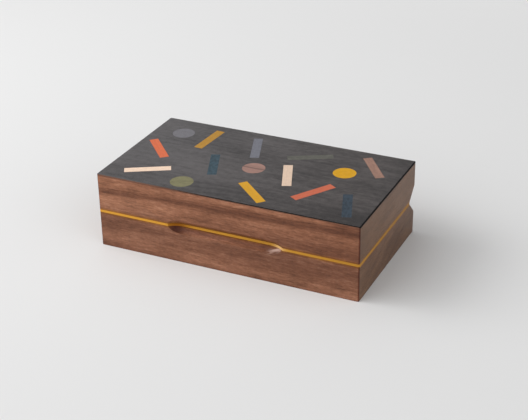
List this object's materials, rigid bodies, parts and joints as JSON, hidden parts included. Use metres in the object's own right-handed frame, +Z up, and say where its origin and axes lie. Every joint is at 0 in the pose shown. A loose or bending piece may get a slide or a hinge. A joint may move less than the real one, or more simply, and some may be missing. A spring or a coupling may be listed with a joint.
{
  "type": "wooden box",
  "caption": "Small walnut box with a hinged lid, a charcoal top inlaid with coloured discs and bars, a yellow parting line and a finger scoop.",
  "frame": {"origin": "centre of the underside", "axes": "+X along the length to the right, +Z up, front face towards -Y"},
  "size_m": [0.18, 0.098, 0.051],
  "materials": {
    "base_walnut": "oiled walnut",
    "lid_walnut": "oiled walnut",
    "yellow_rim": "dyed veneer, satin",
    "charcoal_veneer": "dyed veneer, satin",
    "hinge_brass": "satin brass",
    "inlay_disc_slate": "dyed veneer, satin",
    "inlay_disc_yellow": "dyed veneer, satin",
    "inlay_disc_rose": "dyed veneer, satin",
    "inlay_disc_green": "dyed veneer, satin",
    "inlay_bar_amber": "dyed veneer, satin",
    "inlay_bar_bluegrey": "dyed veneer, satin",
    "inlay_bar_olive": "dyed veneer, satin",
    "inlay_bar_rose": "dyed veneer, satin",
    "inlay_bar_coral_left": "dyed veneer, satin",
    "inlay_bar_teal": "dyed veneer, satin",
    "inlay_bar_cream_centre": "dyed veneer, satin",
    "inlay_bar_coral_right": "dyed veneer, satin",
    "inlay_bar_navy": "dyed veneer, satin",
    "inlay_bar_cream_left": "dyed veneer, satin",
    "inlay_bar_yellow": "dyed veneer, satin"
  },
  "bodies": {
    "base": {"base_front_wall": "base_walnut", "base_right_wall": "base_walnut", "base_back_wall": "base_walnut", "base_left_wall": "base_walnut", "base_front_rim": "yellow_rim", "base_right_rim": "yellow_rim", "base_back_rim": "yellow_rim", "base_left_rim": "yellow_rim", "base_bottom_panel": "base_walnut", "hinge_left_base_leaf": "hinge_brass", "hinge_right_base_leaf": "hinge_brass", "hinge_left_pin": "hinge_brass", "hinge_right_pin": "hinge_brass", "base_hinge_screws": "hinge_brass"},
    "lid": {"lid_front_wall": "lid_walnut", "lid_right_wall": "lid_walnut", "lid_back_wall": "lid_walnut", "lid_left_wall": "lid_walnut", "lid_front_rim": "yellow_rim", "lid_right_rim": "yellow_rim", "lid_back_rim": "yellow_rim", "lid_left_rim": "yellow_rim", "lid_top_panel": "lid_walnut", "lid_top_veneer": "charcoal_veneer", "inlay_disc_slate": "inlay_disc_slate", "inlay_disc_yellow": "inlay_disc_yellow", "inlay_disc_rose": "inlay_disc_rose", "inlay_disc_green": "inlay_disc_green", "inlay_bar_amber": "inlay_bar_amber", "inlay_bar_bluegrey": "inlay_bar_bluegrey", "inlay_bar_olive": "inlay_bar_olive", "inlay_bar_rose": "inlay_bar_rose", "inlay_bar_coral_left": "inlay_bar_coral_left", "inlay_bar_teal": "inlay_bar_teal", "inlay_bar_cream_centre": "inlay_bar_cream_centre", "inlay_bar_coral_right": "inlay_bar_coral_right", "inlay_bar_navy": "inlay_bar_navy", "inlay_bar_cream_left": "inlay_bar_cream_left", "inlay_bar_yellow": "inlay_bar_yellow", "hinge_left_lid_leaf": "hinge_brass", "hinge_right_lid_leaf": "hinge_brass", "lid_hinge_screws": "hinge_brass"}
  },
  "joints": [
    {"name": "lid_hinge", "type": "hinge", "parent": "base", "child": "lid", "pos_m": [0, 0.0391, 0.025], "axis": [-1, 0, 0], "range_deg": [0, 90]}
  ]
}
